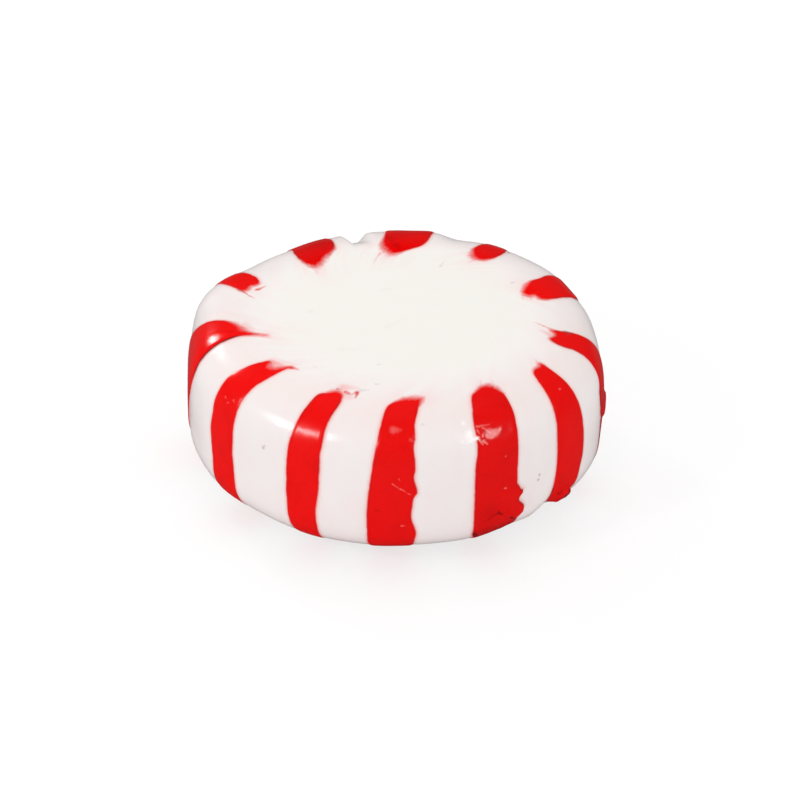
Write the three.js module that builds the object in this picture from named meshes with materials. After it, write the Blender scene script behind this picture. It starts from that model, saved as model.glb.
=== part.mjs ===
// A starlight mint: a round, pressed disc of hard boiled candy with a broad soft shoulder,
// a rounder underside that ends in a small flat, an outline that swells and dips,
// and twelve stripes that stand slightly proud of the side.
// Millimetres, +Z up, origin at the middle of the flat that it rests on.

import * as THREE from "three";
import { mergeVertices } from "three/addons/utils/BufferGeometryUtils.js";

// Overall form
const diameter = 24;
const thickness = 10;
const waistHeight = 3.7; // height of the widest line above the base
const topFlatRadius = 3.6;
const baseFlatRadius = 3.1;
const shoulderPower = 4.6; // superellipse powers: 2 is an ellipse, higher is squarer
const undersidePower = 2.7;

// Facets
const segmentsAround = 144;
const shoulderSteps = 13;
const undersideSteps = 11;
const fineSteps = 400; // points from which evenly spaced ones are picked
const mergeDistance = 1e-4;

// Swells (out > 0) and dips (out < 0) of the outline, each at an angle and with a spread in degrees
const swells = [
  { at: 4, out: -0.34, spread: 16 },
  { at: 28, out: -0.27, spread: 9 },
  { at: 38, out: 0.32, spread: 17 },
  { at: 70, out: 0.22, spread: 15 },
  { at: 106, out: -0.12, spread: 12 },
  { at: 132, out: -0.6, spread: 17 },
  { at: 151, out: -0.24, spread: 8 },
  { at: 165, out: 0.5, spread: 11.5 },
  { at: 197, out: 0.1, spread: 7 },
  { at: 214, out: 0.3, spread: 16 },
  { at: 243, out: 0.08, spread: 12 },
  { at: 282, out: -0.3, spread: 20 },
  { at: 310, out: -0.1, spread: 14 },
  { at: 339, out: 0.18, spread: 10 },
];

// Stripes: the angle of each one's middle at the waist and its width, in degrees
const stripes = [
  { at: 22, width: 12 },
  { at: 57, width: 10 },
  { at: 88, width: 14 },
  { at: 126, width: 14 },
  { at: 160, width: 9 },
  { at: 192, width: 13 },
  { at: 220, width: 9 },
  { at: 246.5, width: 9 },
  { at: 270, width: 12 },
  { at: 298.5, width: 13 },
  { at: 324, width: 12 },
  { at: 345, width: 9 },
];
const stripeRise = 0.09; // how far a stripe stands out
const stripeEdge = 2.5; // degrees over which its edge rises
const stripeTopStart = 8.4; // radii between which a stripe's rise comes in, above the waist
const stripeTopFull = 10.6;
const stripeBaseStart = 6.5; // the same, below the waist
const stripeBaseFull = 9.5;

// Small dents in the rim: angle, height of the middle, half width around, half height, depth
const dents = [
  { at: 108, height: 8.9, halfWidth: 0.85, halfHeight: 1.4, depth: 0.95 },
  { at: 75, height: 8.9, halfWidth: 1.4, halfHeight: 1.6, depth: 0.3 },
  { at: 304.5, height: 1.6, halfWidth: 1.6, halfHeight: 0.8, depth: 0.26 },
  { at: 319, height: 2.0, halfWidth: 1.1, halfHeight: 0.9, depth: 0.4 },
  { at: 336, height: 2.1, halfWidth: 2.0, halfHeight: 1.0, depth: 0.2 },
];

// Chips: a flat facet where the disc is broken away. The facet faces the angle at,
// tilted down by tilt degrees, at a distance from the middle of the disc.
const chips = [{ at: 311, tilt: 50, distance: 9.68 }];

const radius = diameter / 2;

// One quarter of the profile, from the widest line to a flat, as a superellipse
function quarterProfile(flatRadius, flatHeight, power) {
  const points = [];
  for (let i = 0; i <= fineSteps; i += 1) {
    const t = (i / fineSteps) * (Math.PI / 2);
    const across = Math.cos(t) ** (2 / power);
    const along = Math.sin(t) ** (2 / power);
    const r = flatRadius + (radius - flatRadius) * across;
    const z = waistHeight + (flatHeight - waistHeight) * along;
    points.push(new THREE.Vector2(r, z));
  }
  return points;
}

// Points at nearly even distances along a line of points
function evenlySpaced(points, count) {
  const lengths = [0];
  for (let i = 1; i < points.length; i += 1) {
    lengths.push(lengths[i - 1] + points[i].distanceTo(points[i - 1]));
  }
  const result = [];
  let k = 0;
  for (let i = 0; i <= count; i += 1) {
    const target = (i / count) * lengths[lengths.length - 1];
    while (k < points.length - 2 && lengths[k + 1] < target) {
      k += 1;
    }
    const share = (target - lengths[k]) / (lengths[k + 1] - lengths[k]);
    result.push(points[k].clone().lerp(points[k + 1], share));
  }
  return result;
}

// The whole profile, from the middle of the base up to the middle of the top
function discProfile() {
  const underside = quarterProfile(baseFlatRadius, 0, undersidePower);
  const shoulder = quarterProfile(topFlatRadius, thickness, shoulderPower);
  const lower = evenlySpaced(underside, undersideSteps).reverse();
  const upper = evenlySpaced(shoulder, shoulderSteps).slice(1);
  const baseMiddle = new THREE.Vector2(0, 0);
  const topMiddle = new THREE.Vector2(0, thickness);
  return [baseMiddle, ...lower, ...upper, topMiddle];
}

// Signed difference of two angles in degrees, between -180 and 180
function angleBetween(a, b) {
  return ((((a - b + 180) % 360) + 360) % 360) - 180;
}

// Bell curve, 1 at the middle
function bell(distance, spread) {
  return Math.exp(-((distance / spread) ** 2));
}

function outlineOffset(angle, r) {
  const sum = swells.reduce((total, s) => total + s.out * bell(angleBetween(angle, s.at), s.spread), 0);
  return sum * (r / radius) ** 2;
}

function stripeOffset(angle, r, z) {
  const above = THREE.MathUtils.smoothstep(r, stripeTopStart, stripeTopFull);
  const below = THREE.MathUtils.smoothstep(r, stripeBaseStart, stripeBaseFull);
  const along = z > waistHeight ? above : below;
  let across = 0;
  for (const stripe of stripes) {
    const inside = stripe.width / 2 - Math.abs(angleBetween(angle, stripe.at));
    across = Math.max(across, THREE.MathUtils.smoothstep(inside, -stripeEdge / 2, stripeEdge / 2));
  }
  return stripeRise * across * along;
}

function dentDepth(angle, z) {
  let depth = 0;
  for (const dent of dents) {
    const around = THREE.MathUtils.degToRad(angleBetween(angle, dent.at)) * radius;
    const shape = bell(around, dent.halfWidth) * bell(z - dent.height, dent.halfHeight);
    depth = Math.max(depth, dent.depth * shape);
  }
  return depth;
}

// Moves one point of the round disc to its place on the uneven one
function shapePoint(point) {
  const r = Math.hypot(point.x, point.y);
  if (r <= Math.max(topFlatRadius, baseFlatRadius)) {
    return;
  }
  const angle = THREE.MathUtils.radToDeg(Math.atan2(point.y, point.x));
  const moved = r + outlineOffset(angle, r) + stripeOffset(angle, r, point.z) - dentDepth(angle, point.z);
  point.x *= moved / r;
  point.y *= moved / r;
}

// Lays every point that is beyond a chip's facet back onto that facet
function cutChip(point, chip) {
  const at = THREE.MathUtils.degToRad(chip.at);
  const tilt = THREE.MathUtils.degToRad(chip.tilt);
  const level = Math.cos(tilt);
  const normal = new THREE.Vector3(level * Math.cos(at), level * Math.sin(at), -Math.sin(tilt));
  const middle = new THREE.Vector3(0, 0, thickness / 2);
  const beyond = point.clone().sub(middle).dot(normal) - chip.distance;
  if (beyond > 0) {
    point.addScaledVector(normal, -beyond);
  }
}

function mintGeometry() {
  let geometry = new THREE.LatheGeometry(discProfile(), segmentsAround);
  geometry.rotateX(Math.PI / 2); // the lathe turns about Y, the mint stands on Z
  geometry.deleteAttribute("normal");
  geometry.deleteAttribute("uv");
  geometry = mergeVertices(geometry, mergeDistance);

  const position = geometry.getAttribute("position");
  const point = new THREE.Vector3();
  for (let i = 0; i < position.count; i += 1) {
    point.fromBufferAttribute(position, i);
    shapePoint(point);
    chips.forEach((chip) => cutChip(point, chip));
    position.setXYZ(i, point.x, point.y, point.z);
  }

  // The uneven outline is centred again over the origin
  geometry.computeBoundingBox();
  const centre = geometry.boundingBox.getCenter(new THREE.Vector3());
  geometry.translate(-centre.x, -centre.y, 0);
  geometry.computeVertexNormals();
  return geometry;
}

const candy = new THREE.MeshStandardMaterial({ color: 0xf2ebe8, roughness: 0.25, metalness: 0 });

const mint = new THREE.Mesh(mintGeometry(), candy);
mint.name = "mint";

const model = new THREE.Group();
model.add(mint);

export default model;
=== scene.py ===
import math
import bpy
import numpy as np
from mathutils import Matrix, Vector, noise


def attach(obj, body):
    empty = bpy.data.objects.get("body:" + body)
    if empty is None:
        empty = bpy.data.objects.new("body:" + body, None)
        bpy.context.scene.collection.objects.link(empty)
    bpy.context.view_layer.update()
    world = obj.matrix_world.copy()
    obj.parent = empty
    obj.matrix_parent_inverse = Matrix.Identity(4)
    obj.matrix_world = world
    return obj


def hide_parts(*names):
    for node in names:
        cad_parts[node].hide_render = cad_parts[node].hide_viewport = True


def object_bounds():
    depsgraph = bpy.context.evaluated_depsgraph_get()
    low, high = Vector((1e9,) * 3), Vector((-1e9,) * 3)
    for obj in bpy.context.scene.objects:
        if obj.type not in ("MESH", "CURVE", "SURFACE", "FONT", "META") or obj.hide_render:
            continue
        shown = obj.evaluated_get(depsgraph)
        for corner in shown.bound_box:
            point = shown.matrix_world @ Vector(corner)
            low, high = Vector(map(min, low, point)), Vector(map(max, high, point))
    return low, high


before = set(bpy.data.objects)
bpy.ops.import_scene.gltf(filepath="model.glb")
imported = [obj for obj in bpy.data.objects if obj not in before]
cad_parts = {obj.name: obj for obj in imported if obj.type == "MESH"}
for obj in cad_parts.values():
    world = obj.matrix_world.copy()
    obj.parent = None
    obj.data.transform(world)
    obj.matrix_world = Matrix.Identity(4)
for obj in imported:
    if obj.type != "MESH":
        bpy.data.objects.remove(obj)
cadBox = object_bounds()  # the solid's own box, before anything else is made
mm = 0.001

print("frame loaded")

# the disc, all in mm
disc = {
    "diameter": 24.0,
    "thickness": 10.0,
    "waist": 3.7,            # height of the widest line
    "topFlat": 3.6,          # radius of the flat middle on top
    "baseFlat": 3.1,
    "shoulderPower": 4.6,    # 2 is an ellipse, higher is squarer
    "undersidePower": 2.7,
    "around": 66,            # faces around the block-out
    "ringsAbove": 10,        # rings of faces above the waist
    "ringsBelow": 6,
    "smoothing": 3,          # subdivisions of the block-out
}

# the red was dragged round as the candy was pressed: degrees for each mm, and the place where that starts
dragging = {"top": 6.0, "topFrom": 10.3, "base": 5.0, "baseFrom": 18.5}

# small unevenness: how deep in mm, and how close together
unevenness = {
    "lumpDeep": 0.030,
    "lumpScale": 0.30,
    "grainDeep": 0.004,
    "grainScale": 1.4,
    "crinkleDeep": 0.06,
    "crinkleScale": 2.4,
    "onTop": 0.4,            # how much of the lumps and grain the top has
}

# pink haze in the white, at frayed ends and along every edge: strength, and reach in mm
hazes = {"fray": 0.7, "frayReach": 0.7, "edge": 0.16, "edgeReach": 1.4}

# Places on the candy are (degrees round it, mm over its surface from the middle of the top).
# where the outline swells and dips: degrees, mm outwards, spread in degrees
swells = [
    (4, -0.34, 16), (28, -0.27, 9), (38, 0.32, 17), (70, 0.22, 15), (106, -0.12, 12), (132, -0.60, 17),
    (151, -0.24, 8), (165, 0.50, 11.5), (197, 0.10, 7), (214, 0.30, 16), (243, 0.08, 12), (282, -0.30, 20),
    (310, -0.10, 14), (339, 0.18, 10),
]

# knocks: place, half width, half height and depth in mm (below 0 it bulges), how steep the two sides are
dents = [
    {"at": (108, 10.5), "wide": 0.70, "tall": 2.0, "deep": 0.54, "square": 5},  # the notch in the rim
    {"at": (72.5, 10.6), "wide": 1.3, "tall": 1.6, "deep": 0.20, "square": 2},
    {"at": (80.5, 10.4), "wide": 0.9, "tall": 1.6, "deep": -0.10, "square": 2},
    {"at": (-161.7, 10.8), "wide": 1.3, "tall": 1.6, "deep": -0.06, "square": 2},  # a soft bulge in the red
    {"at": (304.5, 19.0), "wide": 1.6, "tall": 1.1, "deep": 0.22, "square": 2},
    {"at": (319, 18.5), "wide": 1.1, "tall": 1.2, "deep": 0.34, "square": 2},
    {"at": (336, 18.4), "wide": 2.0, "tall": 1.3, "deep": 0.16, "square": 2},
    {"at": (324, 19.2), "wide": 1.1, "tall": 0.9, "deep": 0.26, "square": 2},
]

# flat broken facets: the angle they face, degrees they tilt down, distance from the middle of the disc
chips = [(311, 50, 9.68)]

# The stripes. An outline runs up the left side, over the end on top and down the right side. A third
# number says how far the edge frays there. "foot" is where the stripe ends below, "toneAndShade" darkens it,
# partly as painted shade on the stripes towards the back, "rise" is how far it stands out, and "grooveShades"
# are painted shade lines along a side, over a small groove: side, from, to, strength.
stripes = [
    {"outline": [(-181.5, 18), (-182, 15), (-180.5, 13), (-176.5, 11.8), (-173, 10.7), (-168.5, 9.7, 0.3),
                 (-165, 9.3, 0.8), (-160.5, 9, 0.8), (-157, 8.6, 0.4), (-154, 8.1, 0.8), (-156, 8.8, 0.2),
                 (-158, 9.6), (-158.5, 10.6), (-159, 11.8), (-160, 13), (-162, 14.2), (-165, 15.4),
                 (-167, 16.5), (-168, 18)],
     "foot": 21.6, "rise": 0.09, "toneAndShade": 0,
     "grooveShades": [("right", 9.5, 13.2, 1), ("right", 13.2, 16, 0.3)]},
    {"outline": [(-144.3, 18), (-144.8, 16), (-145.8, 14.6), (-145.2, 13.5), (-145.4, 12.8), (-144.8, 11.6),
                 (-143.4, 10.6), (-141, 9.6), (-139, 9.1, 0.2), (-136.7, 9.3, 0.9), (-135, 9.3, 0.9),
                 (-133, 8.9, 0.3), (-130.8, 8.7, 0.2), (-132, 9.4), (-133.2, 10.2), (-135, 11.2),
                 (-136, 12.6), (-136, 15.2), (-135, 18)],
     "foot": 22, "rise": 0.03, "toneAndShade": 0,
     "grooveShades": [("left", 9.2, 10.6, 0.3), ("right", 17.6, 18.6, 0.7)]},
    {"outline": [(-117, 18.4), (-118, 16.5), (-118.3, 15), (-118.2, 13.2), (-117.3, 11.6), (-116.2, 10.4),
                 (-115, 9.8), (-113, 9.6, 0.1), (-111.3, 9.3, 0.5), (-108.5, 9.3, 0.3), (-107.2, 9.9),
                 (-108.3, 10.9), (-109, 12), (-109, 15), (-109.6, 16.7), (-109, 18.4)],
     "foot": 21.4, "rise": 0.05, "toneAndShade": 0.05,
     "grooveShades": [("left", 9.8, 11.2, 0.7), ("right", 9.8, 11.2, 0.5)]},
    {"outline": [(-96, 18.4), (-96.4, 16), (-95.5, 13.5), (-94.5, 11.6), (-93.6, 10.3), (-92.5, 9.8),
                 (-89.5, 9.4, 0.3), (-86, 9.2, 0.6), (-81.5, 9.3, 0.6), (-83.2, 10), (-84.5, 11.1),
                 (-84.3, 11.7), (-84.8, 12.2), (-84.2, 13.4), (-84.5, 14), (-83.2, 14.9), (-84.2, 15.3),
                 (-84.5, 16.5), (-83, 17.5), (-83.3, 18.4)],
     "foot": 21.8, "rise": 0.06, "toneAndShade": 0.15,
     "grooveShades": [("left", 13.8, 18.5, 0.35)]},
    {"outline": [(-65.6, 19), (-67.2, 18.2), (-67.7, 16.4), (-68.2, 13.8), (-67.5, 12.4), (-67.7, 11.4),
                 (-66.6, 10.3), (-65, 9.5), (-62, 9.1, 0.2), (-59.5, 8.9, 0.5), (-56.3, 9, 0.6),
                 (-54.4, 9.5, 0.4), (-54, 10.2), (-55, 12), (-55.4, 13.4), (-55.2, 15.3), (-53.2, 15.8),
                 (-54.7, 16.3), (-52.8, 16.8), (-52.6, 17.2), (-54, 17.5), (-53.7, 17.9), (-55.3, 19)],
     "foot": 21.2, "rise": 0.07, "toneAndShade": 0.3,
     "grooveShades": [("left", 9.4, 18.6, 0.3), ("right", 10, 12, 0.3), ("right", 15.2, 17.6, 0.6)]},
    {"outline": [(-37.5, 19.3), (-40.5, 18.5), (-42.9, 17.7), (-42.2, 16.7), (-41.7, 15.4), (-42, 13.4),
                 (-41.5, 11.7), (-40.5, 10.3), (-39, 9.5), (-36.8, 9.2, 0.2), (-34, 9.2, 0.4),
                 (-32, 9.1, 0.3), (-32, 10), (-31.7, 11.3), (-31, 13.4), (-30, 15.2), (-30.5, 16.5),
                 (-31.5, 17.5), (-33.8, 17.8), (-34, 18.6)],
     "foot": 20, "rise": 0.06, "toneAndShade": 0.2,
     "grooveShades": [("left", 16.6, 18.6, 0.9)]},
    {"outline": [(-16.5, 18), (-17, 16), (-19.3, 14), (-19.8, 13), (-17.5, 12.3), (-16.2, 11.2),
                 (-16.3, 10.2), (-17.7, 9.4), (-16.8, 8.7, 0.1), (-15, 8.6, 0.2), (-12, 8.8, 0.5),
                 (-9, 8.6, 0.4), (-7.5, 9.3), (-6.2, 9.9), (-4.5, 10.9), (-3, 12.1), (-3.5, 13.4),
                 (-5, 15), (-7.5, 18)],
     "foot": 21.7, "rise": 0.03, "toneAndShade": 0.15,
     "grooveShades": [("left", 8.6, 11, 0.6), ("left", 12.5, 18.5, 1), ("right", 8.9, 10, 0.7)]},
    {"outline": [(27, 18), (26, 13), (23, 11.8), (20, 11), (17.3, 10), (15, 9.2), (13.7, 8.6, 0.2),
                 (14.5, 8.2, 0.3), (17, 8, 0.5), (16.5, 7.6, 0.8), (19, 7.4, 0.5), (22, 7.5, 0.4),
                 (27, 8, 0.5), (29.5, 8.6, 0.2), (31, 9.4), (34, 10.6), (35, 13), (34, 18)],
     "foot": 22.2, "rise": 0.07, "toneAndShade": 0.1,
     "grooveShades": [("left", 9.2, 11.6, 0.5), ("right", 8.6, 11.5, 0.4)]},
    {"outline": [(54, 18), (56, 12), (54.6, 10.6), (52.3, 9.6), (51.3, 8.5), (52.2, 7.8, 0.4), (55, 7.5, 0.6),
                 (58, 7.5, 0.8), (60.5, 7.9, 0.7), (62.5, 8.7, 0.2), (62.7, 9.8), (63, 13), (62, 18)],
     "foot": 21.9, "rise": 0.05, "toneAndShade": 0.25,
     "grooveShades": [("left", 9, 12, 0.6), ("right", 9.4, 12, 0.4)]},
    {"outline": [(81, 18), (81, 12), (80.6, 10), (80.8, 8.7), (82, 7.8), (85, 7.3), (90, 6.8, 0.1),
                 (93, 6.5, 0.3), (96, 6.3, 0.8), (99, 6.5, 1), (101.3, 7.2, 0.8), (100, 8.2, 0.4),
                 (98, 9.4), (97, 10.5), (97, 18)],
     "foot": 21.3, "rise": 0.06, "toneAndShade": 0.35,
     "grooveShades": [("right", 8, 11, 0.2)]},
    {"outline": [(117, 18), (116.5, 13), (118, 10), (119.5, 8.9), (122, 8.1, 0.2), (126, 7.7, 0.4),
                 (129, 7.5, 0.6), (135, 7, 0.7), (140, 6.8, 0.9), (141.6, 7.3, 0.5), (140.8, 8, 0.2),
                 (138.5, 8.8), (136, 9.6), (134, 10.2), (132.5, 11.5), (129.5, 18)],
     "foot": 21.8, "rise": 0.06, "toneAndShade": 0.45,
     "grooveShades": [("left", 7.6, 11, 0.4), ("right", 7.4, 10.4, 0.6)]},
    {"outline": [(150.5, 18), (151.5, 13.5), (153.5, 11.8), (156, 10.7), (158, 9.8), (160.2, 9),
                 (162.5, 8.6), (166, 8.3, 0.2), (168.5, 8.6, 0.5), (172.4, 9, 0.2), (168.5, 9.8),
                 (163.2, 11), (161.5, 11.8), (160, 13.5), (158.5, 18)],
     "foot": 21.5, "rise": 0.04, "toneAndShade": 0.1,
     "grooveShades": [("left", 8.9, 10.6, 0.2), ("right", 9, 11.5, 0.4)]},
]
stripeForm = {
    "wobble": 0.03,       # unevenness of the edges
    "softShoulder": 0.2,  # mm over which a stripe's rise comes in
    "crown": 0.25,        # how much of the rise is left for the middle
    "grooveDeep": 0.03,
    "faintGrooveShade": 0.22,    # every edge has a little of the painted groove shade
}

# thin plates of red that stand off the side: outline, mm they stand out, and the way they lift
flakes = [
    {"outline": [(-62.4, 16.2), (-59.4, 15.4), (-55.2, 15.3), (-53.2, 15.8), (-54.7, 16.3), (-52.8, 16.8),
                 (-52.6, 17.2), (-54.2, 17.5), (-57.3, 17.3), (-61, 16.9)],
     "rise": 0.15, "from": -63, "to": -57},
    {"outline": [(-40.6, 17.4), (-37.6, 17.1), (-35.3, 17.3), (-34.9, 17.7), (-37, 18.1), (-39.5, 18.3),
                 (-41, 18)],
     "rise": 0.28, "from": -41, "to": -38.5},
    {"outline": [(-18.6, 14.1), (-8.5, 14.1), (-8.5, 14.7), (-18.6, 14.7)],
     "rise": 0.13, "from": -20, "to": -16},
]

# crinkled patches: place, half width, half height, strength
crinkles = [
    ((-65.5, 12), 1.0, 0.5, 1.0),
    ((-61, 11.7), 1.1, 0.5, 0.8),
    ((-84.5, 12), 0.5, 0.9, 0.5),
    ((-86, 14.8), 0.9, 0.3, 0.4),
    ((-61.5, 16.6), 1.4, 0.7, 0.35),
    ((-58, 18.5), 1.8, 0.6, 0.9),
    ((-138.5, 11.8), 0.9, 0.4, 0.3),
    ((-71.5, 12), 1.4, 0.6, 0.35),
    ((-117, 11.9), 1.6, 0.4, 0.3),
]

# painted shade in the red: darker places low down, by the raised plates and at some ends: place, half width,
# half height, strength
shades = [
    ((-58.5, 18.3), 2.2, 0.6, 0.9),
    ((-63.5, 16.8), 0.8, 0.7, 0.3),
    ((-62.5, 11.9), 0.6, 0.3, 0.4),
    ((81, 10), 0.5, 0.6, 0.4),
    ((124, 9.4), 0.9, 0.9, 0.3),
    ((-37, 17.8), 1.2, 0.3, 0.4),
    ((-164.5, 14.5), 1.5, 0.8, 0.4),
    ((-18.5, 14.5), 2.0, 2.5, 0.5),
]

radius = disc["diameter"] / 2


# one quarter of the profile, from the widest line to a flat
def quarterProfile(flatRadius, flatHeight, power, steps=600):
    turn = np.linspace(0, math.pi / 2, steps)
    r = flatRadius + (radius - flatRadius) * np.cos(turn) ** (2 / power)
    z = disc["waist"] + (flatHeight - disc["waist"]) * np.sin(turn) ** (2 / power)
    return r, z


# the whole profile from the middle of the top to the middle of the base, with the length along it
def makeProfile():
    topR, topZ = quarterProfile(disc["topFlat"], disc["thickness"], disc["shoulderPower"])
    lowR, lowZ = quarterProfile(disc["baseFlat"], 0.0, disc["undersidePower"])
    r = np.concatenate([[0], topR[::-1], lowR[1:], [0]])
    z = np.concatenate([[disc["thickness"]], topZ[::-1], lowZ[1:], [0]])
    along = np.concatenate([[0], np.cumsum(np.hypot(np.diff(r), np.diff(z)))])
    even = np.arange(0, along[-1], 0.02)
    even = np.append(even, along[-1])
    return even, np.interp(even, along, r), np.interp(even, along, z)


profileAlong, profileR, profileZ = makeProfile()
profileLength = profileAlong[-1]


def radiusAt(along):
    return np.interp(along, profileAlong, profileR)


def blockOutDisc():
    waistAt = np.interp(-disc["waist"], -profileZ, profileAlong)
    baseAt = profileLength - disc["baseFlat"]
    flats = (0.35, 0.7)
    along = [profileLength - disc["baseFlat"] * f for f in flats]
    along += list(np.linspace(baseAt, waistAt, disc["ringsBelow"] + 1))
    along += list(np.linspace(waistAt, disc["topFlat"], disc["ringsAbove"] + 1))[1:]
    along += [disc["topFlat"] * f for f in flats[::-1]]
    r = np.interp(along, profileAlong, profileR) * mm
    z = np.interp(along, profileAlong, profileZ) * mm

    bpy.ops.object.select_all(action="DESELECT")
    bpy.ops.mesh.primitive_circle_add(vertices=disc["around"], radius=r[0], location=(0, 0, z[0]))
    piece = bpy.context.object
    bpy.ops.object.mode_set(mode="EDIT")
    for i in range(1, len(r)):
        bpy.ops.mesh.extrude_edges_move(TRANSFORM_OT_translate={"value": (0, 0, z[i] - z[i - 1])})
        grow = r[i] / r[i - 1]
        bpy.ops.transform.resize(value=(grow, grow, 1), center_override=(0, 0, z[i]))
    bpy.ops.mesh.edge_face_add()  # the top closes, then the base
    bpy.ops.mesh.poke()
    bpy.ops.mesh.select_all(action="DESELECT")
    bpy.ops.mesh.select_non_manifold()
    bpy.ops.mesh.edge_face_add()
    bpy.ops.mesh.poke()
    bpy.ops.mesh.select_all(action="SELECT")
    bpy.ops.mesh.normals_make_consistent(inside=False)
    bpy.ops.object.mode_set(mode="OBJECT")
    bpy.ops.object.transform_apply(location=True, rotation=True, scale=True)

    smooth = piece.modifiers.new("smooth", "SUBSURF")
    smooth.levels = smooth.render_levels = disc["smoothing"]
    bpy.ops.object.modifier_apply(modifier=smooth.name)
    return piece


def angleBetween(a, b):
    return (a - b + 180) % 360 - 180


def bell(distance, spread, power=2):
    return np.exp(-np.abs(distance / spread) ** power)


def smoothStep(low, high, value):
    t = np.clip((value - low) / (high - low), 0, 1)
    return t * t * (3 - 2 * t)


# a soft patch round a place on the surface; power squares its two sides
def patch(angle, along, r, place, wide, tall, power=2):
    around = np.radians(angleBetween(angle, place[0])) * r
    return bell(around, wide, power) * bell(along - place[1], tall)


# smooth noise at each point, between about -1 and 1
def noiseAt(points, scale, octaves=3, seed=0.0):
    shift = Vector((seed * 7.31, seed * 3.17, seed * 5.73))
    found = [noise.fractal(Vector(p) * scale + shift, 0.6, 2.0, octaves) for p in points]
    return np.array(found)


# a curve through points, each with three numbers
def smoothLine(points, steps=3):
    ends = [points[0]] + points + [points[-1]]
    line = []
    for a, b, c, d in zip(ends, ends[1:], ends[2:], ends[3:]):
        for i in range(steps):
            t = i / steps
            line.append(0.5 * (2 * b + (c - a) * t + (2 * a - 5 * b + 4 * c - d) * t * t
                               + (3 * b - a - 3 * c + d) * t ** 3))
    return line + [points[-1]]


# how deep each place lies inside a closed outline (mm, negative outside), and the fray of the edge there
def outlineDepth(angle, along, r, outline, centre):
    x = np.radians(angleBetween(angle, centre)) * r
    corners = []
    for point in outline:
        fray = point[2] if len(point) > 2 else 0.0
        sideways = math.radians(angleBetween(point[0], centre)) * radiusAt(point[1])
        corners.append(np.array([sideways, point[1], fray]))
    corners = smoothLine(corners)
    best = np.full(len(x), 9.0)
    fray = np.zeros(len(x))
    inside = np.zeros(len(x), bool)
    for a, b in zip(corners, corners[1:] + corners[:1]):
        dx, dy = b[0] - a[0], b[1] - a[1]
        t = np.clip(((x - a[0]) * dx + (along - a[1]) * dy) / (dx * dx + dy * dy + 1e-12), 0, 1)
        away = np.hypot(x - a[0] - t * dx, along - a[1] - t * dy)
        nearer = away < best
        best = np.where(nearer, away, best)
        fray = np.where(nearer, a[2] + t * (b[2] - a[2]), fray)
        if a[1] != b[1]:
            crosses = (a[1] > along) != (b[1] > along)
            inside ^= crosses & (x < a[0] + (along - a[1]) * dx / dy)
    return np.where(inside, best, -best), fray


# a stripe's outline closed by a frayed foot on the underside
def wholeOutline(stripe):
    outline, foot = stripe["outline"], stripe["foot"]
    left, right = outline[0][0], outline[-1][0]
    end = [(right, foot - 0.6, 0.4), (right - 1.5, foot - 0.1, 0.9), ((left + right) / 2, foot, 1.0),
           (left + 1.5, foot - 0.2, 0.9), (left, foot - 0.7, 0.4)]
    return outline + end


# what every place on the candy has: how deep it is in a stripe, how frayed the edge is and so on
def paintStripes(angle, along, r, flow):
    paint = {name: np.zeros(len(angle)) for name in ("fray", "rise", "grooveShade", "toneAndShade")}
    depth = np.full(len(angle), -9.0)
    edgeNoise = stripeForm["wobble"] * noiseAt(flow, 0.9, 3, 2.0)
    for stripe in stripes:
        outline = wholeOutline(stripe)
        degrees = [point[0] for point in outline]
        centre = (min(degrees) + max(degrees)) / 2
        reach = (max(degrees) - min(degrees)) / 2 + 14
        near = np.flatnonzero((np.abs(angleBetween(angle, centre)) < reach) & (along > 4.5))
        here, fray = outlineDepth(angle[near], along[near], r[near], outline, centre)
        here = here + edgeNoise[near]
        side = angleBetween(angle[near], centre)
        grooveShade = np.full(len(near), stripeForm["faintGrooveShade"])
        for which, start, finish, strength in stripe["grooveShades"]:
            window = smoothStep(start - 0.4, start + 0.3, along[near])
            window = window * smoothStep(finish + 0.4, finish - 0.3, along[near])
            grooveShade = np.maximum(grooveShade, strength * window * ((side > 0) == (which == "right")))
        better = here > depth[near]
        chosen = near[better]
        depth[chosen] = here[better]
        paint["fray"][chosen] = fray[better]
        paint["grooveShade"][chosen] = grooveShade[better]
        paint["rise"][chosen] = stripe["rise"]
        paint["toneAndShade"][chosen] = stripe["toneAndShade"]
    paint["depth"] = depth
    return paint


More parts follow.
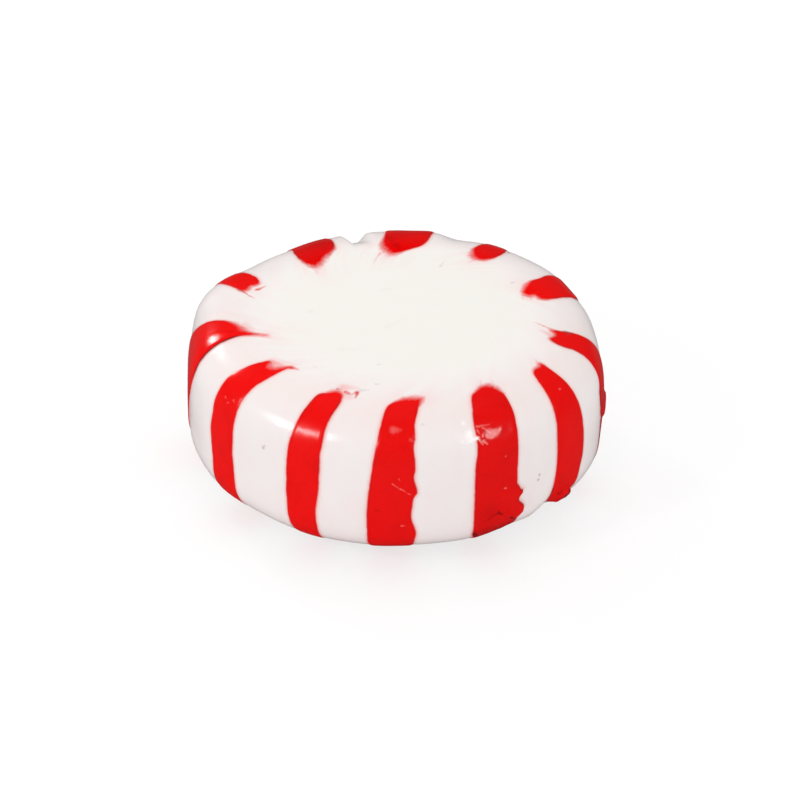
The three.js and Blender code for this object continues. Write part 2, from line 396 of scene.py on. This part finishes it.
# where the places on the candy lie (mm), and their paint
def formSurface(angle, along):
    r = np.interp(along, profileAlong, profileR)
    z = np.interp(along, profileAlong, profileZ)
    dr = radiusAt(along + 0.03) - radiusAt(along - 0.03)
    dz = np.interp(along + 0.03, profileAlong, profileZ) - np.interp(along - 0.03, profileAlong, profileZ)
    size = np.hypot(dr, dz)
    outR, outZ = -dz / size, dr / size
    ex, ey = np.cos(np.radians(angle)), np.sin(np.radians(angle))

    # streaks run in a slow spiral on the top and the base
    dragged = angle - dragging["top"] * np.maximum(dragging["topFrom"] - along, 0)
    dragged = np.radians(dragged + dragging["base"] * np.maximum(along - dragging["baseFrom"], 0))
    flow = np.stack([radius * np.cos(dragged), radius * np.sin(dragged), along * 0.4], 1)
    paint = paintStripes(angle, along, r, np.stack([radius * ex, radius * ey, along], 1))
    paint["flow"] = flow

    swell = sum(out * bell(angleBetween(angle, at), spread) for at, out, spread in swells)
    grown = r + swell * (r / radius) ** 2
    co = np.stack([grown * ex, grown * ey, z], 1)

    middle = np.array([0, 0, disc["thickness"] / 2])
    for at, tilt, distance in chips:
        level = math.cos(math.radians(tilt))
        facing = np.array([level * math.cos(math.radians(at)), level * math.sin(math.radians(at)),
                           -math.sin(math.radians(tilt))])
        beyond = np.maximum((co - middle) @ facing - distance, 0)
        co -= beyond[:, None] * facing

    depth, flat = paint["depth"], 1 - 0.8 * paint["fray"]
    shoulder = stripeForm["softShoulder"]
    relief = paint["rise"] * smoothStep(-shoulder / 2, shoulder, depth) * flat
    relief += stripeForm["crown"] * paint["rise"] * smoothStep(0, 1.0, depth) * flat
    relief -= stripeForm["grooveDeep"] * paint["grooveShade"] * bell(depth + 0.05, 0.12)
    rim = smoothStep(7.0, 10.0, r)
    relief *= smoothStep(5.0, 9.0, r)
    body = np.stack([r * ex, r * ey, z], 1)
    rough = unevenness["lumpDeep"] * noiseAt(body, unevenness["lumpScale"], 2, 4.0)
    rough = rough + unevenness["grainDeep"] * noiseAt(body, unevenness["grainScale"], 2, 5.0)
    relief += rough * (unevenness["onTop"] + (1 - unevenness["onTop"]) * rim)
    for dent in dents:
        hollow = patch(angle, along, r, dent["at"], dent["wide"], dent["tall"], dent["square"])
        relief -= dent["deep"] * hollow
    for flake in flakes:
        centre = (flake["from"] + flake["to"]) / 2
        lifted, _ = outlineDepth(angle, along, r, flake["outline"], centre)
        ramp = smoothStep(flake["from"], flake["to"], centre + angleBetween(angle, centre))
        relief += flake["rise"] * smoothStep(-0.06, 0.1, lifted) * ramp
    crinkle = np.zeros(len(r))
    for place, wide, tall, strength in crinkles:
        crinkle = np.maximum(crinkle, strength * patch(angle, along, r, place, wide, tall))
    relief += unevenness["crinkleDeep"] * crinkle * noiseAt(body, unevenness["crinkleScale"], 3, 6.0)
    paint["crinkle"] = crinkle
    for place, wide, tall, strength in shades:
        paint["toneAndShade"] = paint["toneAndShade"] + strength * patch(angle, along, r, place, wide, tall)
    baseEdge = profileLength - disc["baseFlat"]
    relief *= smoothStep(baseEdge, baseEdge - 2, along)  # the base stays flat
    co += relief[:, None] * np.stack([outR * ex, outR * ey, outZ], 1)
    return co, paint


def setAttribute(piece, name, values):
    kind = "FLOAT_VECTOR" if values.ndim == 2 else "FLOAT"
    layer = piece.data.attributes.new(name, kind, "POINT")
    layer.data.foreach_set("vector" if values.ndim == 2 else "value", values.astype(np.float32).ravel())


# gives the block-out its true form; hands back where given places on the candy end up (mm)
def sculptDisc(piece, spots):
    mesh = piece.data
    co = np.zeros(len(mesh.vertices) * 3)
    mesh.vertices.foreach_get("co", co)
    co = co.reshape(-1, 3) / mm
    r, z = np.hypot(co[:, 0], co[:, 1]), co[:, 2]
    angle = np.degrees(np.arctan2(co[:, 1], co[:, 0]))

    # every vertex goes back on the true profile
    rings, ringOf = np.unique(np.round(np.stack([r, z], 1), 4), axis=0, return_inverse=True)
    apart = (rings[:, :1] - profileR) ** 2 + (rings[:, 1:] - profileZ) ** 2
    nearest = np.clip(apart.argmin(1), 1, len(profileAlong) - 2)
    runR = profileR[nearest + 1] - profileR[nearest - 1]
    runZ = profileZ[nearest + 1] - profileZ[nearest - 1]
    ahead = (rings[:, 0] - profileR[nearest]) * runR + (rings[:, 1] - profileZ[nearest]) * runZ
    along = (profileAlong[nearest] + ahead / np.hypot(runR, runZ))[ringOf.ravel()]

    co, paint = formSurface(angle, along)
    low, high = np.array(cadBox[0]) / mm, np.array(cadBox[1]) / mm
    corner, grow = co.min(0), (high - low) / (co.max(0) - co.min(0))  # it fills the solid's box
    co = low + (co - corner) * grow
    mesh.vertices.foreach_set("co", (co * mm).ravel())
    mesh.update()

    gap = np.maximum(-paint["depth"], 0)
    setAttribute(piece, "stripeDepth", paint["depth"])
    setAttribute(piece, "fray", paint["fray"])
    setAttribute(piece, "flow", paint["flow"])
    haze = hazes["fray"] * paint["fray"] * np.exp(-gap / hazes["frayReach"])
    haze = haze + hazes["edge"] * np.exp(-gap / hazes["edgeReach"])
    setAttribute(piece, "haze", haze)
    setAttribute(piece, "grooveShade", paint["grooveShade"])
    setAttribute(piece, "toneAndShade", paint["toneAndShade"])
    setAttribute(piece, "crinkle", paint["crinkle"])
    setAttribute(piece, "along", along)
    bpy.ops.object.shade_smooth()

    spots = np.array(spots, float)
    found, _ = formSurface(spots[:, 0], spots[:, 1])
    return low + (found - corner) * grow


# fine marks drawn on the candy: from, to, width in mm, strength
marks = {
    "drag": [  # thin trails of red that leave the stripes' ends
        ((-155.5, 8.5), (-151, 8), 0.12, 0.5),
        ((-164, 9), (-158, 8.6), 0.5, 0.22),
        ((-137.5, 9.1), (-132, 8.9), 0.4, 0.45),
        ((-131, 8.8), (-128, 8.7), 0.26, 0.9),
        ((-139, 9), (-130, 8.4), 0.4, 0.15),
        ((-112.6, 9.6), (-109.7, 9.2), 0.28, 0.55),
        ((-109.7, 9.3), (-107, 9.4), 0.3, 0.5),
        ((-109, 8.9), (-104, 8.7), 0.45, 0.28),
        ((-107.4, 9.2), (-105, 9.3), 0.2, 0.75),
        ((-104, 9.1), (-105, 9.3), 0.2, 0.75),
        ((-103.7, 9.1), (-103.3, 9.5), 0.22, 0.85),
        ((-105.5, 9.5), (-103.5, 9.5), 0.4, 0.2),
        ((-60, 9.1), (-57.7, 8.4), 0.12, 0.35),
        ((-55, 9.2), (-54, 8.7), 0.14, 0.3),
        ((-33.3, 9.1), (-31, 8.7), 0.14, 0.35),
        ((-9.2, 8.9), (-7.2, 8.2), 0.28, 0.7),
        ((-7.2, 8.2), (-5, 7.6), 0.16, 0.45),
        ((-12, 8.9), (-8.7, 8.5), 0.3, 0.4),
        ((-12.5, 8.6), (-11, 8), 0.35, 0.3),
        ((18, 7.9), (14, 7.7), 0.22, 0.5),
        ((19.5, 7.5), (14.5, 7.2), 0.25, 0.3),
        ((56, 7.5), (57, 6.9), 0.24, 0.35),
        ((100, 6.9), (105, 6.2), 0.22, 0.2),
        ((103, 6.6), (107, 5.9), 0.14, 0.45),
        ((107, 5.9), (110, 5.3), 0.14, 0.2),
        ((140.5, 7), (145.5, 6.2), 0.3, 0.25),
        ((171.5, 9.1), (175, 8.7), 0.15, 0.85),
        ((175, 8.7), (177.5, 8.3), 0.12, 0.6),
        ((170.5, 8.3), (167, 7.9), 0.22, 0.8),
    ],
    "speck": [  # small grey and pinkish specks in the white, and faint smears
        ((-125.7, 13.8), (-125.2, 13.6), 0.17, 0.6),
        ((-98.3, 8.2), (-96.4, 8.1), 0.1, 0.4),
        ((-100, 6.3), (-99.3, 6.2), 0.16, 0.2),
        ((-47.7, 15.3), (-47.4, 15.3), 0.14, 0.8),
        ((-48.1, 15.6), (-47.7, 15.6), 0.15, 0.75),
        ((-38.2, 19.5), (-39.8, 19.3), 0.2, 0.9),
        ((67.5, 5.5), (68, 6.3), 0.16, 0.25),
        ((30, 7.3), (30.7, 7.6), 0.14, 0.4),
        ((-82.4, 11), (-81.6, 11), 0.14, 0.2),
        ((-162, 15.9), (-160, 15.8), 0.35, 0.15),
        ((-103, 8.9), (-100, 8.7), 0.22, 0.3),
        ((-124, 5.8), (-113, 5), 0.3, 0.05),
        ((-110, 2.3), (-67, 1), 0.3, 0.05),
        ((-170, 5.2), (-168, 5.1), 0.3, 0.08),
        ((120, 2.3), (99, 2.3), 0.3, 0.06),
        ((-124, 8), (-122.8, 7.9), 0.2, 0.1),
    ],
    "creaseShade": [  # painted shade: dark lines and tips in the creases and under the raised plates
        ((-60.7, 16.8), (-56.2, 17.5), 0.13, 0.8),
        ((-56.6, 17.4), (-51.3, 18.4), 0.13, 1.0),
        ((-60.6, 16.8), (-66, 17.4), 0.1, 0.5),
        ((-66.5, 18.2), (-64, 19), 0.25, 0.9),
        ((-35.5, 17.5), (-36.6, 17.7), 0.3, 1.0),
        ((-36.6, 17.7), (-38, 18), 0.3, 1.0),
        ((-41, 18.3), (-42.3, 17.8), 0.3, 1.0),
        ((-39.5, 17.3), (-37, 17.1), 0.14, 0.5),
        ((-65.4, 11.7), (-63.5, 12), 0.12, 0.35),
        ((-66.3, 12.1), (-65.2, 12.3), 0.1, 0.35),
        ((-94, 16), (-92.3, 16.1), 0.06, 0.5),
        ((96.5, 8.6), (94.5, 7.6), 0.4, 0.2),
        ((94.5, 7.6), (92, 6.8), 0.45, 0.25),
    ],
    "highlightStreak": [  # painted highlights: pale marks on small ridges and crinkles in the red
        ((-90, 14.3), (-88, 14.6), 0.08, 0.3),
        ((-88, 14.6), (-85.8, 14.9), 0.07, 0.35),
        ((-85.8, 14.9), (-83.6, 15.1), 0.06, 0.25),
        ((-88.5, 14), (-87.9, 14.1), 0.06, 0.3),
        ((-87.2, 17), (-86.1, 17), 0.08, 0.4),
        ((-90.5, 11.3), (-88.5, 11.3), 0.3, 0.25),
        ((-85.8, 11.8), (-84, 12), 0.14, 0.14),
        ((-67, 12), (-66, 12.4), 0.14, 0.9),
        ((-67, 11.4), (-62.8, 11.4), 0.1, 0.35),
        ((-67, 11.6), (-66.3, 11.9), 0.1, 0.4),
        ((-65.8, 12.2), (-64.6, 12.4), 0.14, 0.7),
        ((-65.4, 11.5), (-63, 11.9), 0.09, 0.35),
        ((-141.4, 12.2), (-140.8, 12.3), 0.1, 0.25),
        ((-140, 12.4), (-139.4, 12.3), 0.1, 0.2),
        ((-138.3, 12.1), (-137.6, 12.2), 0.1, 0.25),
        ((-59.5, 15.3), (-54.5, 15.4), 0.07, 0.35),
        ((-36, 11), (-35.4, 11), 0.09, 0.4),
        ((-59.6, 13.3), (-59.2, 13.3), 0.08, 0.35),
    ],
    "paintedGlint": [  # painted highlights: near-white dashes where small broken places catch the light
        ((-67.4, 12), (-70.5, 12.2), 0.17, 0.9),
        ((-68.5, 12), (-67, 12.1), 0.13, 0.8),
        ((-70.4, 11.1), (-69.9, 11.2), 0.22, 0.5),
        ((-71.5, 12.1), (-71, 12.2), 0.14, 0.4),
        ((-70, 11.6), (-69.5, 11.7), 0.18, 0.3),
    ],
    "stain": [  # small brown places at the stripes' ends
        ((-138.5, 9.2), (-137.5, 9.2), 0.1, 0.5),
        ((-113.8, 9.8), (-112.6, 9.8), 0.12, 0.35),
        ((-110.6, 9.1), (-109, 9.1), 0.13, 0.45),
        ((-106.5, 9.3), (-105, 9.3), 0.13, 0.35),
        ((-103.7, 9.1), (-103.3, 9.5), 0.13, 0.45),
        ((-9, 9.6), (-7.5, 9.9), 0.1, 0.6),
        ((-7.4, 9.5), (-6, 9.9), 0.26, 0.8),
        ((19.5, 10.9), (21, 11.5), 0.14, 0.5),
        ((170.5, 9.4), (176, 8.5), 0.1, 0.4),
        ((170.5, 8.2), (168, 7.9), 0.12, 0.35),
        ((52, 10), (54.5, 10.8), 0.16, 0.4),
    ],
}

# the candy's finish
# the candy's colours and gloss, with painted highlights and painted shade among the colours
candyLook = {
    "ivory": (0.808, 0.785, 0.745, 1),    # the middle of the top
    "white": (0.84, 0.785, 0.775, 1),    # sides
    "hazePink": (0.84, 0.56, 0.56, 1),
    "fringe": (0.86, 0.42, 0.40, 1),     # the white just beside a stripe
    "red": (0.82, 0.0015, 0.0010, 1),
    # darker red, partly painted shade
    "deepShadedRed": (0.50, 0.0012, 0.0014, 1),
    # painted shade in the grooves and creases
    "shadeCrimson": (0.16, 0.0005, 0.0030, 1),
    # painted highlights in the red
    "highlightPink": (0.90, 0.35, 0.33, 1),
    "greyPink": (0.42, 0.30, 0.33, 1),
    "brown": (0.30, 0.045, 0.045, 1),
    # painted highlight
    "paintedHighlight": (0.97, 0.95, 0.95, 1),
    "edge": 0.08,                        # mm over which a stripe's side edge turns red
    "frayedEdge": 0.50,                  # the same where it frays
    "frayReach": 0.8,
    "rim": (0.825, 0.745, 0.725, 1),     # the white where it turns over to the side
    "roughness": 0.20,
    "topGloss": 0.02,                    # the pressed top is dull
    "glossIor": 1.29,
    "bumpDeep": 0.00007,                 # m
    "bumpScale": 2.2,
    "scatter": 0.06,                     # a little light goes into the sugar
    "scatterRadius": (1.0, 0.45, 0.35),
    "scatterScale": 0.0005,
    "markShake": 0.14,                   # mm over which the fine marks wander
}


# the mask of one straight mark that tapers, drawn between two places
def makeMarkGroup():
    group = bpy.data.node_groups.new("taperedMark", "ShaderNodeTree")
    for name in ("Place", "Start", "End"):
        group.interface.new_socket(name, in_out="INPUT", socket_type="NodeSocketVector")
    for name in ("Width", "Strength"):
        group.interface.new_socket(name, in_out="INPUT", socket_type="NodeSocketFloat")
    group.interface.new_socket("Mask", in_out="OUTPUT", socket_type="NodeSocketFloat")
    nodes, links = group.nodes, group.links
    source = nodes.new("NodeGroupInput").outputs

    def vector(operation, *values):
        made = nodes.new("ShaderNodeVectorMath")
        made.operation = operation
        for socket, value in zip(made.inputs, values):
            links.new(value, socket)
        return made

    def maths(operation, a, b):
        made = nodes.new("ShaderNodeMath")
        made.operation = operation
        for socket, value in zip(made.inputs, (a, b)):
            if isinstance(value, float):
                socket.default_value = value
            else:
                links.new(value, socket)
        return made.outputs[0]

    # each node is made after the ones it reads, which keeps the candy's long shader small enough to run
    run = vector("SUBTRACT", source["End"], source["Start"]).outputs[0]
    here = vector("SUBTRACT", source["Place"], source["Start"]).outputs[0]
    travelled = vector("DOT_PRODUCT", here, run).outputs["Value"]
    whole = vector("DOT_PRODUCT", run, run).outputs["Value"]
    travelled = maths("DIVIDE", travelled, whole)
    held = nodes.new("ShaderNodeClamp")
    links.new(travelled, held.inputs["Value"])
    share = held.outputs[0]
    nearest = nodes.new("ShaderNodeVectorMath")
    nearest.operation = "SCALE"
    links.new(run, nearest.inputs[0])
    links.new(share, nearest.inputs["Scale"])
    away = vector("DISTANCE", here, nearest.outputs[0]).outputs["Value"]
    taper = maths("SUBTRACT", 1.0, maths("MULTIPLY", share, 0.6))
    rim = maths("MULTIPLY", source["Width"], taper)
    away = maths("DIVIDE", away, rim)
    soft = nodes.new("ShaderNodeMapRange")
    soft.interpolation_type = "SMOOTHSTEP"
    links.new(away, soft.inputs["Value"])
    for name, value in (("From Min", 0.15), ("From Max", 1.0), ("To Min", 1.0), ("To Max", 0.0)):
        soft.inputs[name].default_value = value
    mask = maths("MULTIPLY", maths("MULTIPLY", soft.outputs["Result"], taper), source["Strength"])
    links.new(mask, nodes.new("NodeGroupOutput").inputs["Mask"])
    return group


def candyMaterial(placed):
    material = bpy.data.materials.new("boiledSugar")
    material.use_nodes = True
    nodes, links = material.node_tree.nodes, material.node_tree.links
    shader = nodes["Principled BSDF"]
    markGroup = makeMarkGroup()

    def node(kind, **settings):
        made = nodes.new(kind)
        for key, value in settings.items():
            setattr(made, key, value)
        return made

    def feed(socket, value):
        if isinstance(value, (int, float, tuple)):
            socket.default_value = value
        else:
            links.new(value, socket)

    def attribute(name, output="Fac"):
        return node("ShaderNodeAttribute", attribute_name=name).outputs[output]

    def maths(operation, a, b=0.0, clamp=False):
        made = node("ShaderNodeMath", operation=operation, use_clamp=clamp)
        feed(made.inputs[0], a)
        feed(made.inputs[1], b)
        return made.outputs[0]

    def noiseNode(where, scale, detail=3.0, roughness=0.55):
        made = node("ShaderNodeTexNoise")
        feed(made.inputs["Vector"], where)
        feed(made.inputs["Scale"], scale)
        feed(made.inputs["Detail"], detail)
        feed(made.inputs["Roughness"], roughness)
        return made

    def mix(a, b, share):
        made = node("ShaderNodeMix", data_type="RGBA")
        feed(made.inputs[6], a)
        feed(made.inputs[7], b)
        feed(made.inputs[0], share)
        return made.outputs[2]

    def ramp(value, low, high, start=0.0, finish=1.0):
        made = node("ShaderNodeMapRange", interpolation_type="SMOOTHSTEP")
        feed(made.inputs["Value"], value)
        for name, bound in (("From Min", low), ("From Max", high), ("To Min", start), ("To Max", finish)):
            feed(made.inputs[name], bound)
        return made.outputs["Result"]

    # place in mm, a little shaken so that marks aren't ruler-straight
    inMetres = node("ShaderNodeTexCoord").outputs["Object"]
    inMm = node("ShaderNodeVectorMath", operation="SCALE")
    feed(inMm.inputs[0], inMetres)
    feed(inMm.inputs["Scale"], 1000.0)
    place = inMm.outputs[0]
    uneven = noiseNode(place, 5.0).outputs["Color"]
    shift = node("ShaderNodeVectorMath", operation="SUBTRACT")
    feed(shift.inputs[0], place)
    feed(shift.inputs[1], (candyLook["markShake"] / 2,) * 3)
    shake = node("ShaderNodeVectorMath", operation="MULTIPLY_ADD")
    feed(shake.inputs[0], uneven)
    feed(shake.inputs[1], (candyLook["markShake"],) * 3)
    feed(shake.inputs[2], shift.outputs[0])
    shaken = shake.outputs[0]

    def drawn(kind):
        total = 0.0
        for start, finish, width, strength in marks[kind]:
            mark = node("ShaderNodeGroup", node_tree=markGroup)
            feed(mark.inputs["Place"], shaken)
            feed(mark.inputs["Start"], placed[start])
            feed(mark.inputs["End"], placed[finish])
            feed(mark.inputs["Width"], width)
            feed(mark.inputs["Strength"], strength)
            total = maths("MAXIMUM", total, mark.outputs[0])
        return total

    depth, fray, flow = attribute("stripeDepth"), attribute("fray"), attribute("flow", "Vector")
    streak = noiseNode(flow, 1.6, 3.0, 0.55).outputs["Fac"]
    drift = noiseNode(flow, 0.9, 2.0, 0.5).outputs["Fac"]
    fine = noiseNode(place, 3.0, 3.0).outputs["Fac"]
    cloud = noiseNode(place, 0.5, 3.0).outputs["Fac"]

    # where it is red
    ragged = maths("MULTIPLY", maths("SUBTRACT", fine, 0.5), 0.05)
    blotch = maths("ADD", maths("MULTIPLY", streak, 0.6), maths("MULTIPLY", fine, 0.4))
    frayed = maths("MULTIPLY", maths("SUBTRACT", blotch, 0.5), fray)
    frayed = maths("MULTIPLY", frayed, candyLook["frayReach"])
    inside = maths("ADD", maths("ADD", depth, ragged), frayed)
    width = maths("ADD", maths("MULTIPLY", fray, candyLook["frayedEdge"]), candyLook["edge"])
    stripe = ramp(inside, maths("MULTIPLY", width, -0.8), maths("MULTIPLY", width, 0.8))
    redness = maths("MAXIMUM", stripe, drawn("drag"), clamp=True)

    # the white
    along = attribute("along")
    whites = mix(candyLook["ivory"], candyLook["white"], ramp(along, 6.0, 10.0))
    turned = maths("MULTIPLY", ramp(along, 8.4, 9.8), ramp(along, 10.4, 12.4, 1.0, 0.0))
    sides = node("ShaderNodeSeparateXYZ")
    feed(sides.inputs[0], place)
    turned = maths("MULTIPLY", turned, ramp(sides.outputs["Y"], -2.0, 3.0, 1.0, 0.0))  # least at the back
    whites = mix(whites, candyLook["rim"], turned)
    haze = maths("MULTIPLY", attribute("haze"), ramp(drift, 0.3, 0.7), clamp=True)
    whites = mix(whites, candyLook["hazePink"], haze)
    whites = mix(whites, candyLook["fringe"], ramp(inside, -0.24, 0.0, 0.0, 0.55))
    whites = mix(whites, candyLook["greyPink"], drawn("speck"))

    # the red
    patchy = maths("MULTIPLY", ramp(cloud, 0.5, 0.8), 0.25)
    patchy = maths("ADD", patchy, maths("MULTIPLY", ramp(fine, 0.5, 0.75), 0.14))
    # darker red by each stripe's tone and random patches, and painted shade towards the back, low down and
    # under the plates
    reds = mix(candyLook["red"], candyLook["deepShadedRed"], maths("ADD", attribute("toneAndShade"), patchy, clamp=True))
    # painted groove shade: a dark crimson line just inside a stripe's side
    line = ramp(maths("ABSOLUTE", maths("SUBTRACT", inside, 0.04)), 0.01, 0.08, 1.0, 0.0)
    reds = mix(reds, candyLook["shadeCrimson"], maths("MULTIPLY", line, attribute("grooveShade"), clamp=True))
    # painted shade in the creases and under the raised plates
    reds = mix(reds, candyLook["shadeCrimson"], drawn("creaseShade"))
    # painted highlights in the red
    reds = mix(reds, candyLook["highlightPink"], drawn("highlightStreak"))
    colours = mix(mix(whites, reds, redness), candyLook["brown"], drawn("stain"))
    # painted highlights over the white and the red
    colours = mix(colours, candyLook["paintedHighlight"], drawn("paintedGlint"))
    links.new(colours, shader.inputs["Base Color"])

    crinkle = attribute("crinkle")
    gloss = ramp(along, 7.0, 9.2, candyLook["topGloss"])
    links.new(gloss, shader.inputs["Coat Weight"])

    bump = node("ShaderNodeBump")
    feed(bump.inputs["Strength"], 1.0)
    feed(bump.inputs["Distance"], candyLook["bumpDeep"])
    bumpiness = maths("ADD", maths("MULTIPLY", crinkle, 0.9), 0.03)
    ripples = noiseNode(place, candyLook["bumpScale"], 4.0).outputs["Fac"]
    links.new(maths("MULTIPLY", ripples, bumpiness), bump.inputs["Height"])
    links.new(bump.outputs["Normal"], shader.inputs["Normal"])

    shader.inputs["Roughness"].default_value = 0.5
    shader.inputs["Specular IOR Level"].default_value = 0.0  # all the gloss is in the coat
    shader.inputs["Coat Roughness"].default_value = candyLook["roughness"]
    shader.inputs["Coat IOR"].default_value = candyLook["glossIor"]
    shader.inputs["Subsurface Weight"].default_value = candyLook["scatter"]
    shader.inputs["Subsurface Radius"].default_value = candyLook["scatterRadius"]
    shader.inputs["Subsurface Scale"].default_value = candyLook["scatterScale"]
    return material


mint = blockOutDisc()
mint.name = "mintDisc"
spots = [spot for kind in marks.values() for mark in kind for spot in mark[:2]]
places = sculptDisc(mint, spots)
mint.data.materials.append(candyMaterial({spot: tuple(place) for spot, place in zip(spots, places)}))
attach(mint, "root")
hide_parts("mint")
print("mint made:", len(mint.data.polygons), "faces")

# the studio: a pale floor, even soft light all round, soft lights for the form and small ones for the gloss.
# Each light is: direction, height (degrees), distance, width, height (m), roll (degrees), power (W).
studio = {
    "floor": (0.95, 0.95, 0.95, 1),
    "floorSize": 4.0,    # m
    "floorGlow": 0.7,    # how far the paper hides the shadows
    "sky": 0.80,         # what lights the mint
    "skySeen": 1.0,      # what the camera sees behind it
    "skyInGloss": 0.04,  # what the gloss picks up, so that the reds stay deep
    "fills": [
        (90, 80, 0.40, 0.30, 0.30, 0, 0.31),
        (-144, 34, 0.22, 0.035, 0.035, 0, 0.078),
        (132, 29, 0.22, 0.030, 0.030, 0, 0.055),
        (-41, 22, 0.22, 0.030, 0.030, 0, 0.042),
    ],
    "glints": [
        (-137, 20, 0.22, 0.140, 0.040, 6, 0.56),
        (137, 23.5, 0.22, 0.034, 0.048, 0, 0.17),
        (-41, 26, 0.22, 0.055, 0.045, 0, 0.17),
    ],
}


def softBox(direction, height, distance, width, tall, roll, power, inGloss):
    target = Vector((0, 0, disc["thickness"] / 2 * mm))
    a, e = math.radians(direction), math.radians(height)
    away = Vector((math.cos(a) * math.cos(e), math.sin(a) * math.cos(e), math.sin(e)))
    bpy.ops.object.light_add(type="AREA", location=target + away * distance)
    box = bpy.context.object
    box.data.shape = "RECTANGLE"
    box.data.size, box.data.size_y = width, tall
    box.data.energy = power
    turned = away.to_track_quat("Z", "Y").to_matrix().to_4x4()
    box.rotation_euler = (turned @ Matrix.Rotation(math.radians(roll), 4, "Z")).to_euler()
    box.visible_glossy = inGloss
    box.visible_diffuse = not inGloss


# mixes two shaders by the kind of ray that meets them
def byRay(tree, kind, usual, forKind, out):
    ray = tree.nodes.new("ShaderNodeLightPath")
    blend = tree.nodes.new("ShaderNodeMixShader")
    tree.links.new(ray.outputs[kind], blend.inputs[0])
    tree.links.new(usual, blend.inputs[1])
    tree.links.new(forKind, blend.inputs[2])
    tree.links.new(blend.outputs[0], out)
    return blend.outputs[0]


def makeStudio():
    bpy.ops.mesh.primitive_plane_add(size=studio["floorSize"], location=(0, 0, 0))
    floor = bpy.context.object
    floor.name = "floor"
    paper = bpy.data.materials.new("palePaper")
    paper.use_nodes = True
    paper.cycles.emission_sampling = "NONE"
    tree = paper.node_tree
    sheet = tree.nodes["Principled BSDF"]
    sheet.inputs["Base Color"].default_value = studio["floor"]
    sheet.inputs["Roughness"].default_value = 1.0
    sheet.inputs["Specular IOR Level"].default_value = 0.0
    dim = tree.nodes.new("ShaderNodeBsdfDiffuse")
    dim.inputs["Color"].default_value = (0.08, 0.08, 0.08, 1)
    glow = tree.nodes.new("ShaderNodeEmission")
    seen = tree.nodes.new("ShaderNodeMixShader")
    seen.inputs[0].default_value = studio["floorGlow"]
    tree.links.new(sheet.outputs[0], seen.inputs[1])
    tree.links.new(glow.outputs[0], seen.inputs[2])
    out = tree.nodes["Material Output"].inputs["Surface"]
    lit = byRay(tree, "Is Glossy Ray", sheet.outputs[0], dim.outputs[0], out)
    byRay(tree, "Is Camera Ray", lit, seen.outputs[0], out)
    floor.data.materials.append(paper)

    world = bpy.data.worlds.new("tent")
    bpy.context.scene.world = world
    world.use_nodes = True
    tree = world.node_tree
    world.cycles.sampling_method = "NONE"
    sky = tree.nodes["Background"]
    glossSky, seenSky = tree.nodes.new("ShaderNodeBackground"), tree.nodes.new("ShaderNodeBackground")
    for part, strength in ((sky, "sky"), (glossSky, "skyInGloss"), (seenSky, "skySeen")):
        part.inputs["Color"].default_value = (1, 1, 1, 1)
        part.inputs["Strength"].default_value = studio[strength]
    out = tree.nodes["World Output"].inputs["Surface"]
    lit = byRay(tree, "Is Glossy Ray", sky.outputs[0], glossSky.outputs[0], out)
    byRay(tree, "Is Camera Ray", lit, seenSky.outputs[0], out)

    for box in studio["fills"]:
        softBox(*box, inGloss=False)
    for box in studio["glints"]:
        softBox(*box, inGloss=True)


# the camera looks down at the front
view = {
    "height": 32.5,      # degrees above the level
    "distance": 0.120,
    "lens": 93.5,
    "roll": 3.0,
    "aim": (0.00015, -0.00012, 0.005),
    "slide": (0.00019, -0.00097),  # right and up, to place the mint in the picture
}


def makeCamera():
    e = math.radians(view["height"])
    back = Vector((0, -math.cos(e), math.sin(e)))
    up = Vector((0, math.sin(e), math.cos(e)))
    spot = Vector(view["aim"]) + Vector((view["slide"][0], 0, 0)) + up * view["slide"][1]
    bpy.ops.object.camera_add(location=spot + back * view["distance"])
    camera = bpy.context.object
    camera.data.lens = view["lens"]
    turned = back.to_track_quat("Z", "Y").to_matrix().to_4x4()
    camera.rotation_euler = (turned @ Matrix.Rotation(math.radians(view["roll"]), 4, "Z")).to_euler()
    camera.data.clip_start = 0.005
    bpy.context.scene.camera = camera


makeStudio()
makeCamera()
bpy.context.scene.view_settings.view_transform = "Standard"
print("studio and camera set")
